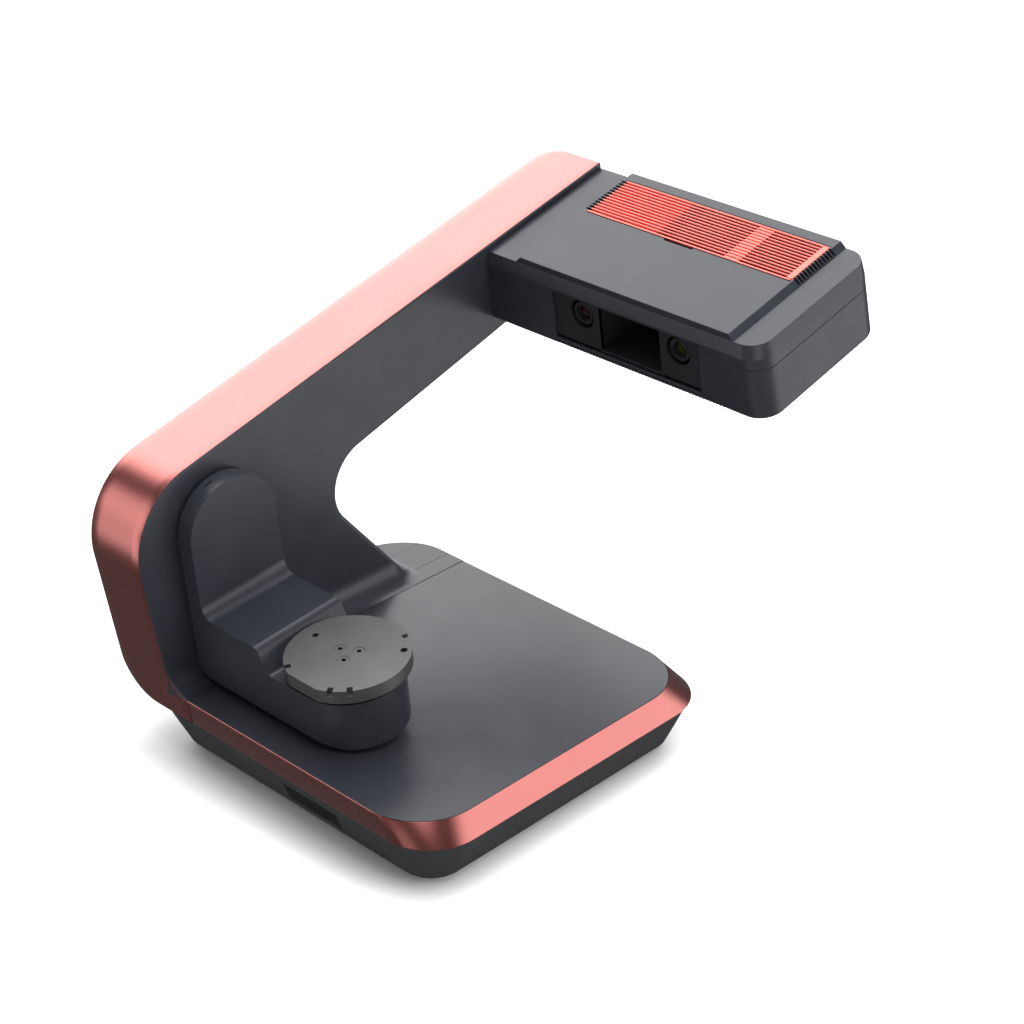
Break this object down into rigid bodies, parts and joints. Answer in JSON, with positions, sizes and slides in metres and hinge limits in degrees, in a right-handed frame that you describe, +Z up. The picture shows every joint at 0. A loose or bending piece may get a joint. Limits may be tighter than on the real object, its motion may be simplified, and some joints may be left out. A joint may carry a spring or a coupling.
{
  "type": "desktop 3d scanner",
  "caption": "Open C-frame desktop 3D scanner with an overhead camera head, a tilting swing arm and a motor-driven turntable.",
  "frame": {"origin": "middle of the bounding box, on the surface that the feet stand on", "axes": "+X from the arm to the free edge of the base, +Y from the front to the back, +Z up"},
  "size_m": [0.2818, 0.4188, 0.2988],
  "materials": {
    "satin_dark_shell": "satin moulded ABS with a fine texture",
    "black_shell": "matt moulded ABS",
    "red_metallic": "satin metallic red lacquer",
    "black_plastic": "matt black moulding",
    "rubber_black": "matt rubber",
    "zinc_steel": "zinc-plated pressed steel",
    "bearing_steel": "ground steel",
    "cast_aluminium": "bead-blasted aluminium",
    "board": "solder mask over glass-fibre board",
    "plate_grey": "hard-anodised grey aluminium",
    "glass_black": "coated lens glass",
    "black_screw": "black-oxide steel"
  },
  "bodies": {
    "stand": {"base_top_cover": "satin_dark_shell", "base_band": "red_metallic", "base_pan": "black_shell", "base_feet": "rubber_black", "base_chassis": "zinc_steel", "vent_panel": "black_plastic", "mainboard": "board", "power_inlet": "black_plastic", "usb_socket": "zinc_steel", "button_housing": "black_plastic", "base_fan_frame": "black_plastic", "pan_screws": "black_screw", "arm_inner_cover": "satin_dark_shell", "arm_outer_cover": "satin_dark_shell", "arm_band": "red_metallic", "arm_frame": "cast_aluminium", "arm_cover_screws": "black_screw", "tilt_motor": "black_plastic", "tilt_belt": "rubber_black", "tilt_bearings": "bearing_steel", "head_cable": "rubber_black", "head_top_shell": "satin_dark_shell", "head_lower_housing": "black_shell", "louvre_grille": "red_metallic", "head_bracket": "cast_aluminium", "optics_frame": "black_plastic", "camera_left": "black_plastic", "camera_right": "black_plastic", "camera_lenses": "black_plastic", "lens_glasses": "glass_black", "projector": "black_plastic", "projector_lens": "black_plastic", "head_board": "board", "heat_sink": "cast_aluminium", "head_fan_frame": "black_plastic", "head_screws": "black_screw"},
    "swing_arm": {"tilt_shaft": "bearing_steel", "tilt_pulley": "cast_aluminium", "swing_shell": "satin_dark_shell", "swing_back_cover": "black_shell", "swing_bottom_cover": "black_shell", "swing_bracket": "cast_aluminium", "swing_screws": "black_screw", "table_motor": "black_plastic", "table_belt": "rubber_black", "bearing_housing": "cast_aluminium", "table_bearings": "bearing_steel"},
    "turntable": {"table_spindle": "bearing_steel", "table_pulley": "cast_aluminium", "turntable_plate": "plate_grey", "plate_screws": "black_screw"},
    "tilt_motor_rotor": {"tilt_motor_pulley": "cast_aluminium"},
    "table_motor_rotor": {"table_motor_pulley": "cast_aluminium"},
    "base_fan_rotor": {"base_fan_rotor": "black_plastic"},
    "head_fan_rotor": {"head_fan_rotor": "black_plastic"},
    "power_button": {"power_button": "bearing_steel"}
  },
  "joints": [
    {"name": "arm_tilt", "type": "hinge", "parent": "stand", "child": "swing_arm", "pos_m": [-0.0929, -0.14758, 0.1588], "axis": [1, 0, 0], "range_deg": [-35, 25]},
    {"name": "table_spin", "type": "hinge", "parent": "swing_arm", "child": "turntable", "pos_m": [0.0171, -0.14247, 0.10705], "axis": [0, -0.0985, 0.9951], "continuous": true},
    {"name": "tilt_motor_spin", "type": "hinge", "parent": "stand", "child": "tilt_motor_rotor", "pos_m": [-0.0929, -0.12258, 0.1155], "axis": [1, 0, 0], "range_deg": [-140, 100]},
    {"name": "table_motor_spin", "type": "hinge", "parent": "swing_arm", "child": "table_motor_rotor", "pos_m": [-0.0509, -0.1402, 0.08416], "axis": [0, -0.0985, 0.9951], "continuous": true},
    {"name": "base_fan_spin", "type": "hinge", "parent": "stand", "child": "base_fan_rotor", "pos_m": [0.0241, -0.15918, 0.029], "axis": [0, -1, 0], "continuous": true},
    {"name": "head_fan_spin", "type": "hinge", "parent": "stand", "child": "head_fan_rotor", "pos_m": [0.0296, 0.17517, 0.27877], "axis": [0, -0.2538, 0.9673], "continuous": true},
    {"name": "power_press", "type": "slide", "parent": "stand", "child": "power_button", "axis": [0, -1, 0], "range_m": [0, 0.002], "stiffness_N_per_m": 400, "springref_m": -0.002}
  ],
  "couplings": [
    {"joint": "tilt_motor_spin", "follows": "arm_tilt", "ratio": 4},
    {"joint": "table_motor_spin", "follows": "table_spin", "ratio": 4}
  ]
}
